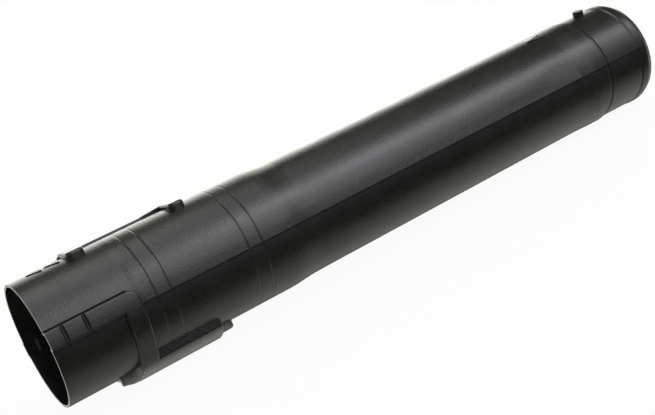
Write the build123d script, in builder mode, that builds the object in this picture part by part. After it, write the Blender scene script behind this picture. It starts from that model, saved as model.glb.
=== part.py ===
"""Blower extension tube: a single blow-moulded piece.

The axis runs along +X from the centre of the socket's mouth, which is the origin.
The mould opens along Z, so the parting plane is Z = 0 and every raised wall stands upright in Z.
The side that faces -Y is called near. All sizes are in millimetres, all angles in degrees.
"""
import os
from math import acos, asin, cos, degrees, hypot, radians, sin, sqrt

from build123d import *

# Tube
wall = 1.6
length = 471.0
socket_diameter = 80.0
socket_length = 157.0
neck_length = 21.0
body_start_diameter = 77.3
body_end_diameter = 75.6

# Fine ring lines pressed into the outside of the socket, placed from its inner end
ring_setbacks = [89.8, 80.2, 26.4, 17.0]
ring_width = 1.5
ring_depth = 0.18

# Fine ridge that the two halves of the mould leave along both sides
seam_width = 0.8
seam_height = 0.2
seam_gap = 2.0

# Male end, set off from the body by a bead and a groove, and placed from the tube's end
bead_setback = 65.0
bead_rise = 13.0
bead_diameter = 76.5
bead_round = 1.2
groove_setback = 42.6
groove_width = 1.6
groove_flank = 0.8
groove_diameter = 73.2
spigot_diameter = 74.6
land_setback = 11.0
land_flank = 1.6
land_width = 5.0
land_diameter = 75.8
nose_diameter = 71.4
nose_round = 5.0

# Lock tracks: each has an entry strip, a band round the tube and a slot along it
strip_height = 2.2
strip_top = 10.4
strip_bottom = -1.0
strip_corner = 5.5
strip_line = 0.8
rib_positions = [10.2, 23.8]
rib_floor = 0.4
rib_depth = 1.4
rib_flank = 45.0
band_start = 45.5
band_end = 57.3
band_overlap = 4.0
rise_angle = -5.0
rise_lead = 4.0
slot_start = 34.0
slot_near = 25.3
slot_tail = 2.8
slot_corner = 4.0
track_round = 1.4
lower_slot_end = 101.5
lower_slot_far = 6.5
lower_slot_height = 6.8
lower_roof_radius = 35.0
lower_tail_drop = 3.2
lower_tail_run = 18.0
upper_slot_end = 108.0
upper_slot_far = 8.0
upper_slot_height = 2.1
upper_roof_radius = 42.0

# Flat-topped pockets at both ends of each slot
pocket_lead = 1.2
pocket_lap = 4.0
pocket_overlap = 4.0
pocket_corner = 3.6
pocket_round = 1.8
front_pocket_length = 11.5
lower_pocket_length = 14.5
lower_pocket_reach = 16.0
lower_pocket_height = 3.7
upper_pocket_length = 10.2
upper_pocket_reach = 14.0
upper_pocket_height = 2.7
ramp_length = 12.6
ramp_drop = 0.3

# Lock pin on the male end and the raised arrow marks beside both ends
pin_setback = 24.0
pin_angle = 80.0
pin_diameter = 7.8
pin_height = 3.8
pin_round = 0.8
front_mark_positions = [15.5, 27.0]
front_mark_angle = 84.0
front_mark_length = 9.0
back_mark_setback = 72.0
back_mark_angle = 72.0
back_mark_length = 13.0
mark_width = 7.0
mark_height = 0.5

socket_radius = socket_diameter / 2
bead_start = length - bead_setback
groove_start = length - groove_setback
land_start = length - land_setback
land_end = land_start + land_flank + land_width
beyond = socket_diameter


def at_angle(radius, angle):
    """A point of the YZ plane at an angle above the near side of the parting plane."""
    return (-radius * cos(radians(angle)), radius * sin(radians(angle)))


def outward(position, angle, radius):
    """A plane that lies on the tube at an angle above the near side and faces outwards."""
    y, z = at_angle(1.0, angle)
    return Plane(
        origin=(position, radius * y, radius * z), x_dir=(1, 0, 0), z_dir=(0, y, z)
    )


def outer_edges(edges):
    """The edges of a raised form that stand clear of the socket all along."""
    clear = socket_radius + strip_height / 2
    places = [0.0, 0.25, 0.5, 0.75, 1.0]
    return edges.filter_by(
        lambda edge: all(hypot((edge @ at).Y, (edge @ at).Z) > clear for at in places)
    )


def turned_form(inset):
    """The tube without its lock tracks as a closed solid, drawn in by inset."""
    socket = [(-inset, socket_diameter)]
    if inset == 0:
        for setback in ring_setbacks:
            middle = socket_length - setback
            socket.append((middle - ring_width / 2, socket_diameter))
            socket.append((middle, socket_diameter - 2 * ring_depth))
            socket.append((middle + ring_width / 2, socket_diameter))
    socket.append((socket_length, socket_diameter))
    body = [
        (socket_length + neck_length, body_start_diameter),
        (bead_start, body_end_diameter),
        (bead_start + bead_rise, bead_diameter),
        (groove_start, bead_diameter),
        (groove_start + groove_flank, groove_diameter),
        (groove_start + groove_flank + groove_width, groove_diameter),
        (groove_start + 2 * groove_flank + groove_width, spigot_diameter),
        (land_start, spigot_diameter),
        (land_start + land_flank, land_diameter),
        (land_end, land_diameter),
        (length, nose_diameter),
    ]
    if inset > 0:
        body.append((length + inset, nose_diameter))
    with BuildPart() as form:
        with BuildSketch(Plane.XZ) as profile:
            with BuildLine():
                front = Polyline(*[(x, diameter / 2 - inset) for x, diameter in socket])
                back = Polyline(*[(x, diameter / 2 - inset) for x, diameter in body])
                Spline(front @ 1, back @ 0, tangents=(front % 1, back % 0))
                Polyline(back @ 1, (body[-1][0], 0), (-inset, 0), front @ 0)
            make_face()
            rim = profile.vertices().filter_by_position(Axis.X, land_end, land_end)
            fillet(rim, nose_round)
            lip = profile.vertices().filter_by_position(Axis.X, groove_start, groove_start)
            fillet(lip, bead_round)
        revolve(axis=Axis.X)
    return form.part


def lock_track(slot_height, roof_radius, slot_far, slot_end, inset):
    """A lock track on the near and lower side that reaches into the tube, drawn in by inset."""
    mouth = -inset
    strip_radius = socket_radius + strip_height - inset
    strip_middle = degrees(asin((strip_top + strip_bottom) / 2 / socket_radius))
    roof_centre = (0, roof_radius - socket_radius - slot_height)
    rise_end = degrees(acos((slot_near + rise_lead) / roof_radius))
    with BuildPart() as track:
        # Strip, drawn from the side
        with BuildSketch(Plane.XZ) as side_view:
            with BuildLine():
                Polyline(
                    (mouth, strip_bottom + inset),
                    (mouth, strip_top - inset),
                    (band_end - inset, strip_top - inset),
                    (band_end - inset, strip_bottom + inset),
                    close=True,
                )
            make_face()
            corner = side_view.vertices().group_by(Axis.Y)[-1].sort_by(Axis.X)[-1]
            fillet(corner, strip_corner - inset)
        extrude(amount=beyond)
        # Band and slot, drawn from above, with a wide sweep between them on the mouth's side
        with BuildSketch(Plane.XY.offset(strip_bottom + band_overlap)) as plan:
            with BuildLine():
                walls = Polyline(
                    (band_start, -slot_near),
                    (band_start, -beyond),
                    (band_end, -beyond),
                    (band_end, -slot_near),
                    (slot_end, -slot_near),
                    (slot_end, -slot_far),
                    (slot_start, -slot_far),
                    (slot_start, -slot_far - slot_tail),
                )
                TangentArc(walls @ 0, walls @ 1, tangent=(0, 1))
            make_face()
            fillet(plan.vertices().sort_by_distance((slot_end, -slot_near))[0], slot_corner)
            offset(amount=-inset, mode=Mode.REPLACE)
        extrude(amount=-beyond)
        # Roof over both, which climbs along the band from the strip to the slot
        with BuildSketch(Plane.YZ.offset(mouth)):
            with BuildLine():
                level = ThreePointArc(
                    at_angle(strip_radius, 90),
                    at_angle(strip_radius, 45),
                    at_angle(strip_radius, rise_angle),
                )
                landing = CenterArc(roof_centre, roof_radius - inset, 180 + rise_end, 90 - rise_end)
                Spline(level @ 1, landing @ 0, tangents=(level % 1, landing % 0))
                Line(landing @ 1, level @ 0)
            make_face()
        extrude(amount=slot_end - mouth, mode=Mode.INTERSECT)
        if inset == 0:
            rims = outer_edges(track.edges()).filter_by(
                lambda edge: edge.center().X > mouth
                and not (edge.geom_type == GeomType.LINE and band_start < edge.center().X < band_end)
            )
            fillet(rims, track_round)
        for position in rib_positions:
            with BuildSketch(outward(position, strip_middle, strip_radius - rib_depth)):
                Rectangle(rib_floor + 2 * inset, strip_top - strip_bottom)
            extrude(amount=strip_height, taper=-rib_flank, mode=Mode.SUBTRACT)
    return track.part


def slot_tail_cut(inset):
    """What is cut off below the lower slot to slope its outer face down towards the mouth."""
    level = lower_slot_height + socket_radius - inset
    with BuildPart() as cut:
        with BuildSketch(Plane.XZ.offset(-beyond)):
            with BuildLine():
                Polyline(
                    (slot_start, lower_tail_drop - level),
                    (slot_start + lower_tail_run, -level),
                    (slot_start, -level),
                    close=True,
                )
            make_face()
        extrude(amount=2 * beyond)
    return cut.part


def end_pockets(height, reach, slot_far, slot_end, back_length, inset):
    """The two flat-topped pockets of a track on the lower side, drawn in by inset."""
    width = reach + slot_far + pocket_overlap
    middle = (reach - slot_far - pocket_overlap) / 2
    places = [(slot_start + pocket_lead, front_pocket_length), (slot_end - pocket_lap, back_length)]
    with BuildPart() as pockets:
        with BuildSketch():
            for start, run in places:
                with Locations((start + run / 2, middle)):
                    RectangleRounded(run - 2 * inset, width - 2 * inset, pocket_corner - inset)
        extrude(amount=inset - socket_radius - height)
        if inset == 0:
            fillet(pockets.faces().group_by(Axis.Z)[0].edges(), pocket_round)
    return pockets.part


def pocket_ramp():
    """The wedge that leads from the upper slot up to its inner pocket, drawn on the lower side."""
    slot_level = sqrt((socket_radius + upper_slot_height) ** 2 - upper_slot_far**2)
    pocket_level = socket_radius + upper_pocket_height
    pocket_start = upper_slot_end - pocket_lap
    with BuildPart() as ramp:
        with BuildSketch(Plane.XZ.offset(upper_slot_far)):
            with BuildLine():
                Polyline(
                    (pocket_start - ramp_length, wall - slot_level),
                    (pocket_start - ramp_length, -slot_level),
                    (pocket_start + pocket_round, ramp_drop - pocket_level),
                    (pocket_start + pocket_corner, ramp_drop - pocket_level),
                    (pocket_start + pocket_corner, wall - slot_level),
                    close=True,
                )
            make_face()
        extrude(amount=pocket_overlap - track_round)
    return ramp.part


def mould_seam():
    """The two fine ridges along the sides, where the halves of the mould meet."""
    start = band_end + seam_gap
    with BuildPart() as seam:
        with BuildSketch(Plane.YZ.offset(start)):
            Rectangle(2 * beyond, seam_width)
        extrude(amount=land_start - start)
        add(turned_form(-seam_height), mode=Mode.INTERSECT)
    return seam.part


def strip_groove():
    """The fine groove along the upper edge of the near strip."""
    angle = degrees(asin((strip_top + strip_line / 2) / socket_radius))
    with BuildPart() as groove:
        with BuildSketch(Plane.YZ):
            with Locations(at_angle(socket_radius, angle)):
                Rectangle(strip_line, strip_line, rotation=45 - angle)
        extrude(amount=band_end - strip_corner)
    return groove.part


def lower_track(inset):
    """The near and lower lock track without its pockets, drawn in by inset."""
    with BuildPart() as track:
        add(lock_track(lower_slot_height, lower_roof_radius, lower_slot_far, lower_slot_end, inset))
        add(slot_tail_cut(inset), mode=Mode.SUBTRACT)
    return track.part


def lock_pin():
    """A round pin that stands up from the male end, with its foot inside the wall."""
    with BuildPart() as pin:
        with BuildSketch(Plane.XY.offset((spigot_diameter - wall) / 2)):
            with Locations((length - pin_setback, 0)):
                Circle(pin_diameter / 2)
        extrude(amount=wall / 2 + pin_height)
        fillet(pin.faces().sort_by(Axis.Z)[-1].edges(), pin_round)
    return pin.part


def arrow_mark(position, mark_length, radius):
    """A low three-cornered pad on top of the tube that points to the mouth."""
    with BuildPart() as mark:
        with BuildSketch(Plane.XY.offset(radius - wall / 2)):
            with BuildLine():
                Polyline(
                    (position - mark_length / 2, 0),
                    (position + mark_length / 2, mark_width / 2),
                    (position + mark_length / 2, -mark_width / 2),
                    close=True,
                )
            make_face()
        extrude(amount=wall / 2 + mark_height)
    return mark.part


half_turn = (180, 0, 0)
upper_slot = (upper_slot_height, upper_roof_radius, upper_slot_far, upper_slot_end)
lower_pockets = (
    lower_pocket_height, lower_pocket_reach, lower_slot_far, lower_slot_end, lower_pocket_length
)
upper_pockets = (
    upper_pocket_height, upper_pocket_reach, upper_slot_far, upper_slot_end, upper_pocket_length
)
with BuildPart() as blower_tube:
    add(turned_form(0))
    add(strip_groove(), mode=Mode.SUBTRACT)
    add(strip_groove(), rotation=half_turn, mode=Mode.SUBTRACT)
    add(mould_seam())
    add(lower_track(0))
    add(lock_track(*upper_slot, 0), rotation=half_turn)
    add(end_pockets(*lower_pockets, 0))
    add(end_pockets(*upper_pockets, 0), rotation=half_turn)
    add(pocket_ramp(), rotation=half_turn)
    add(turned_form(wall), mode=Mode.SUBTRACT)
    add(lower_track(wall), mode=Mode.SUBTRACT)
    add(lock_track(*upper_slot, wall), rotation=half_turn, mode=Mode.SUBTRACT)
    add(end_pockets(*lower_pockets, wall), mode=Mode.SUBTRACT)
    add(end_pockets(*upper_pockets, wall), rotation=half_turn, mode=Mode.SUBTRACT)
    add(lock_pin(), rotation=(90 - pin_angle, 0, 0))
    for position in front_mark_positions:
        mark = arrow_mark(position, front_mark_length, socket_radius)
        add(mark, rotation=(90 - front_mark_angle, 0, 0))
    back_mark = arrow_mark(length - back_mark_setback, back_mark_length, body_end_diameter / 2)
    add(back_mark, rotation=(90 - back_mark_angle, 0, 0))

os.makedirs("parts", exist_ok=True)
blower_tube.part.label = "blower_tube"
export_step(blower_tube.part, "parts/blower_tube.step")
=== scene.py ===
import math

import bpy
from mathutils import Matrix, Vector

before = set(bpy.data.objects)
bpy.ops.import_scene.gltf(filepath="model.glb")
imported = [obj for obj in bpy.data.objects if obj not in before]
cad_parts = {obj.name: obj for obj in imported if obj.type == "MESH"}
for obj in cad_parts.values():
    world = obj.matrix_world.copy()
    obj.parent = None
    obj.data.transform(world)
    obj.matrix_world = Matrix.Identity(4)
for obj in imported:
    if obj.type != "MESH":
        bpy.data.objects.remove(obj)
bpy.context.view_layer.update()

scene = bpy.context.scene
scene.view_settings.view_transform = "Standard"


# The camera looks along the tube from beside its mouth, a little above the parting plane.
# It is rolled, so the tube climbs to the right across the picture.
picture_width = 655
focal_length_px = 1200
sensor_width_mm = 36.0
nearest_shown = 0.01
camera_place = Vector((-0.114, -0.707, 0.0994))
camera_right = Vector((0.8123, -0.4264, -0.3980))
camera_up = Vector((0.4164, -0.0541, 0.9076))
camera_data = bpy.data.cameras.new("camera")
camera_data.sensor_fit = "HORIZONTAL"
camera_data.sensor_width = sensor_width_mm
camera_data.lens = focal_length_px / picture_width * sensor_width_mm
camera_data.clip_start = nearest_shown
camera = bpy.data.objects.new("camera", camera_data)
camera_back = camera_right.cross(camera_up)
camera.matrix_world = Matrix.Translation(camera_place) @ Matrix(
    (camera_right, camera_up, camera_back)
).transposed().to_4x4()
scene.collection.objects.link(camera)
scene.camera = camera


# The tube is one blow-moulded piece of black high-density polyethylene.
# Its satin skin is as the mould left it: a fine matt grain over faint waves along the tube,
# and a small step where the mould's halves met. Where it lies on its lower slot, the underside is
# painted a lighter grey: a painted reflection of the bright floor below, not wear.
def linear(hex_colour):
    """The linear colour of an sRGB hex value."""
    parts = [int(hex_colour[i:i + 2], 16) / 255 for i in (1, 3, 5)]
    return [p / 12.92 if p <= 0.04045 else ((p + 0.055) / 1.055) ** 2.4 for p in parts] + [1.0]


def node(tree, kind, links=(), **settings):
    """A new node with its settings; links are pairs of an input and a socket or a number."""
    made = tree.nodes.new(kind)
    for name, value in settings.items():
        if name in made.inputs:
            made.inputs[name].default_value = value
        else:
            setattr(made, name, value)
    for name, source in links:
        if isinstance(source, (int, float)):
            made.inputs[name].default_value = source
        else:
            tree.links.new(source, made.inputs[name])
    return made


mm = 0.001
grain_size = 1.5 * mm  # coarser than the real matt grain, so that it shows
grain_height = 0.12 * mm
wave_length = 160 * mm
wave_width = 7 * mm
wave_height = 0.05 * mm
patch_size = 14 * mm
fine_detail = 2.0
patch_detail = 4.0
patch_low, patch_high = 0.3, 0.7
smooth_spots, matt_spots = 0.24, 0.31
plastic_ior = 1.54
# The last of these greys is painted light: the floor's light reflected on the underside of the lower
# slot.
black_low, black_high, floor_reflection_grey = "#1a1a18", "#22221f", "#96948e"
seam_below = -1.0 * mm
seam_above = 0.2 * mm
seam_height = 0.17 * mm
seam_start = 56 * mm
seam_fade = 4 * mm
# Where the painted floor reflection lies: under the lower slot, on its near side, along this stretch of
# the tube.
floor_reflection_from = -36.5 * mm
floor_reflection_to = -44 * mm
floor_reflection_start = 33 * mm
floor_reflection_end = 112 * mm
floor_reflection_side = -4 * mm
floor_reflection_fade = 3 * mm
colour_a, colour_b, colour_out = 6, 7, 2  # a Mix node's sockets for colours

plastic = bpy.data.materials.new("black_polyethylene_as_moulded")
plastic.use_nodes = True
tree = plastic.node_tree
skin = tree.nodes["Principled BSDF"]
skin.inputs["IOR"].default_value = plastic_ior
place = node(tree, "ShaderNodeTexCoord").outputs["Object"]
along = node(tree, "ShaderNodeSeparateXYZ", [(0, place)])

grain = node(tree, "ShaderNodeTexNoise", [("Vector", place)],
             Scale=1 / grain_size, Detail=fine_detail)
stretch = node(tree, "ShaderNodeMapping", [("Vector", place)],
               Scale=(1 / wave_length, 1 / wave_width, 1 / wave_width))
waves = node(tree, "ShaderNodeTexNoise", [("Vector", stretch.outputs[0])],
             Scale=1.0, Detail=fine_detail)
patches = node(tree, "ShaderNodeTexNoise", [("Vector", place)],
               Scale=1 / patch_size, Detail=patch_detail)

step = node(tree, "ShaderNodeMapRange",
            [("Value", along.outputs["Z"]), ("From Min", seam_below), ("From Max", seam_above)],
            interpolation_type="SMOOTHSTEP")
past_band = node(tree, "ShaderNodeMapRange",
                 [("Value", along.outputs["X"]), ("From Min", seam_start),
                  ("From Max", seam_start + seam_fade)])
seam = node(tree, "ShaderNodeMath", [(0, step.outputs[0]), (1, past_band.outputs[0])],
            operation="MULTIPLY")

height = node(tree, "ShaderNodeMath", [(0, grain.outputs[0]), (1, grain_height)], operation="MULTIPLY")
for pattern, size in ((waves, wave_height), (seam, seam_height)):
    height = node(tree, "ShaderNodeMath",
                  [(0, pattern.outputs[0]), (1, size), (2, height.outputs[0])], operation="MULTIPLY_ADD")
relief = node(tree, "ShaderNodeBump", [("Height", height.outputs[0]), ("Distance", 1.0)])
tree.links.new(relief.outputs[0], skin.inputs["Normal"])

gloss = node(tree, "ShaderNodeMapRange",
             [("Value", patches.outputs[0]), ("From Min", patch_low), ("From Max", patch_high),
              ("To Min", smooth_spots), ("To Max", matt_spots)])
# The mask of the painted floor reflection under the lower slot.
under = node(tree, "ShaderNodeMapRange",
             [("Value", along.outputs["Z"]), ("From Min", floor_reflection_from), ("From Max", floor_reflection_to)])
after = node(tree, "ShaderNodeMapRange",
             [("Value", along.outputs["X"]), ("From Min", floor_reflection_start),
              ("From Max", floor_reflection_start + floor_reflection_fade)])
before = node(tree, "ShaderNodeMapRange",
              [("Value", along.outputs["X"]), ("From Min", floor_reflection_end),
               ("From Max", floor_reflection_end - floor_reflection_fade)])
nearer = node(tree, "ShaderNodeMapRange",
              [("Value", along.outputs["Y"]), ("From Min", floor_reflection_side),
               ("From Max", floor_reflection_side - floor_reflection_fade)])
painted_floor_reflection = under
for limit in (after, before, nearer):
    painted_floor_reflection = node(tree, "ShaderNodeMath", [(0, painted_floor_reflection.outputs[0]), (1, limit.outputs[0])],
                  operation="MULTIPLY")
tone = node(tree, "ShaderNodeMix", [(0, patches.outputs[0])], data_type="RGBA")
tone.inputs[colour_a].default_value = linear(black_low)
tone.inputs[colour_b].default_value = linear(black_high)
# The painted floor reflection: a lighter grey base colour on the slot's underside.
with_floor_reflection = node(tree, "ShaderNodeMix",
            [(0, painted_floor_reflection.outputs[0]), (colour_a, tone.outputs[colour_out])], data_type="RGBA")
with_floor_reflection.inputs[colour_b].default_value = linear(floor_reflection_grey)
tree.links.new(with_floor_reflection.outputs[colour_out], skin.inputs["Base Color"])
tree.links.new(gloss.outputs[0], skin.inputs["Roughness"])

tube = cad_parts["blower_tube"]
tube.data.materials.clear()
tube.data.materials.append(plastic)


# The floor is plain white paper. The tube lies on its lower lock track and on the bead at its end.
# That end lies lower on the real floor, so in the tube's own frame the floor slopes up there.
# The paper glows for the camera, so that it stays white and shows only a faint shadow.
slot_contact = Vector((0.1004, -0.04586))
bead_contact = Vector((0.4654, -0.03790))
floor_slope = (bead_contact.y - slot_contact.y) / (bead_contact.x - slot_contact.x)
floor_reach = 6.0
paper_white = "#f6f6f6"
paper_roughness = 0.9
glow_share = 0.94
corners = []
for x, y in ((-1, -1), (1, -1), (1, 1), (-1, 1)):
    rise = slot_contact.y + floor_slope * (floor_reach * x - slot_contact.x)
    corners.append((floor_reach * x, floor_reach * y, rise))
floor_mesh = bpy.data.meshes.new("floor")
floor_mesh.from_pydata(corners, [], [(0, 1, 2, 3)])
floor = bpy.data.objects.new("floor", floor_mesh)
floor.visible_glossy = False
scene.collection.objects.link(floor)
paper = bpy.data.materials.new("white_paper")
paper.use_nodes = True
tree = paper.node_tree
sheet = tree.nodes["Principled BSDF"]
sheet.inputs["Base Color"].default_value = linear(paper_white)
sheet.inputs["Roughness"].default_value = paper_roughness
rays = node(tree, "ShaderNodeLightPath")
share = node(tree, "ShaderNodeMath", [(0, rays.outputs["Is Camera Ray"]), (1, glow_share)],
             operation="MULTIPLY")
glow = node(tree, "ShaderNodeEmission", Color=(1, 1, 1, 1), Strength=1.0)
mix = node(tree, "ShaderNodeMixShader",
           [(0, share.outputs[0]), (1, sheet.outputs[0]), (2, glow.outputs[0])])
tree.links.new(mix.outputs[0], tree.nodes["Material Output"].inputs["Surface"])
floor_mesh.materials.append(paper)


# Soft studio light: long panels run beside the tube, in front and overhead, with a white wall
# behind and a dim room in front below. Each stop is an angle about the tube's axis, from level
# in front (0) over the top (90) to level behind (180), and how bright the room is there.
top_level = 6.0
cool = linear("#fafaff")
warm = linear("#fffff6")
by_the_left = [
    (-180, 1.3, warm), (-162, 1.2, warm), (-140, 0.5, warm), (-85, 0.5, warm), (-50, 0.1, warm),
    (-20, 0.0, cool), (20, 0.4, cool), (70, 0.4, cool), (120, 0.2, warm), (160, 1.0, warm),
    (178, 1.3, warm)]
by_the_mouth = [
    (-180, 0.2, warm), (-160, 0.1, warm), (-135, 0.5, warm), (-105, 0.6, warm), (-75, 0.48, warm),
    (-55, 0.0, warm), (-12, 0.03, cool), (6, 0.7, cool), (32, 2.4, cool), (56, 1.1, cool),
    (84, 2.3, cool), (95, 2.4, warm), (116, 0.4, warm), (136, 0.0, warm), (156, 2.4, warm),
    (172, 2.4, warm)]
by_the_body = [
    (-180, 0.2, warm), (-160, 0.1, warm), (-135, 0.55, warm), (-105, 0.72, warm), (-75, 0.55, warm),
    (-52, 0.0, warm), (-20, 0.02, cool), (11, 1.8, cool), (18, 2.9, cool), (30, 2.4, cool),
    (45, 5.9, cool), (66, 1.8, cool), (80, 0.6, warm), (126, 0.0, warm), (153, 3.5, warm),
    (172, 3.5, warm)]
by_the_end = [
    (-180, 0.2, warm), (-160, 0.1, warm), (-135, 0.6, warm), (-105, 0.78, warm), (-75, 0.62, warm),
    (-50, 0.0, warm), (-16, 0.02, cool), (13, 0.35, cool), (21, 0.9, cool), (30, 1.4, cool),
    (42, 2.0, cool), (52, 4.4, cool), (65, 0.5, cool), (78, 0.12, warm), (110, 0.08, warm),
    (140, 0.0, warm), (160, 2.2, warm), (172, 2.2, warm)]
by_the_tip = [
    (-180, 0.2, warm), (-135, 0.6, warm), (-105, 0.78, warm), (-75, 0.62, warm), (-50, 0.0, warm),
    (0, 0.0, cool), (30, 0.8, cool), (53, 1.6, cool), (70, 0.2, cool), (150, 0.2, warm),
    (172, 0.5, warm)]
world = bpy.data.worlds.new("studio")
scene.world = world
world.use_nodes = True
tree = world.node_tree
towards = node(tree, "ShaderNodeTexCoord")
parts = node(tree, "ShaderNodeSeparateXYZ", [(0, towards.outputs["Generated"])])
front = node(tree, "ShaderNodeMath", [(0, parts.outputs["Y"]), (1, -1.0)], operation="MULTIPLY")
angle = node(tree, "ShaderNodeMath", [(0, parts.outputs["Z"]), (1, front.outputs[0])],
             operation="ARCTAN2")
turn = node(tree, "ShaderNodeMapRange",
            [("Value", angle.outputs[0]), ("From Min", -math.pi), ("From Max", math.pi)])
# Each round takes over from the one before it within its reach, by the direction along the tube.
panels = None
rounds = ((by_the_left, None), (by_the_mouth, (-0.12, 0.06)),
          (by_the_body, (0.2, 0.44)), (by_the_end, (0.44, 0.6)), (by_the_tip, (0.68, 0.84)))
for stops, reach in rounds:
    ramp = node(tree, "ShaderNodeValToRGB", [("Fac", turn.outputs["Result"])])
    while len(ramp.color_ramp.elements) < len(stops):
        ramp.color_ramp.elements.new(1.0)
    for stop, (degrees, level, colour) in zip(ramp.color_ramp.elements, stops):
        stop.position = (math.radians(degrees) + math.pi) / math.tau
        stop.color = [level / top_level * part for part in colour[:3]] + [1.0]
    if panels is None:
        panels = ramp.outputs["Color"]
        continue
    across = node(tree, "ShaderNodeMapRange",
                  [("Value", parts.outputs["X"]), ("From Min", reach[0]), ("From Max", reach[1])])
    panels = node(tree, "ShaderNodeMix",
                  [(0, across.outputs["Result"]), (colour_a, panels),
                   (colour_b, ramp.outputs["Color"])], data_type="RGBA").outputs[colour_out]
room = tree.nodes["Background"]
tree.links.new(panels, room.inputs["Color"])
room.inputs["Strength"].default_value = top_level
rays = node(tree, "ShaderNodeLightPath")
white = node(tree, "ShaderNodeBackground", Color=(1, 1, 1, 1), Strength=1.0)
mix = node(tree, "ShaderNodeMixShader",
           [(0, rays.outputs["Is Camera Ray"]), (1, room.outputs[0]), (2, white.outputs[0])])
tree.links.new(mix.outputs[0], tree.nodes["World Output"].inputs["Surface"])
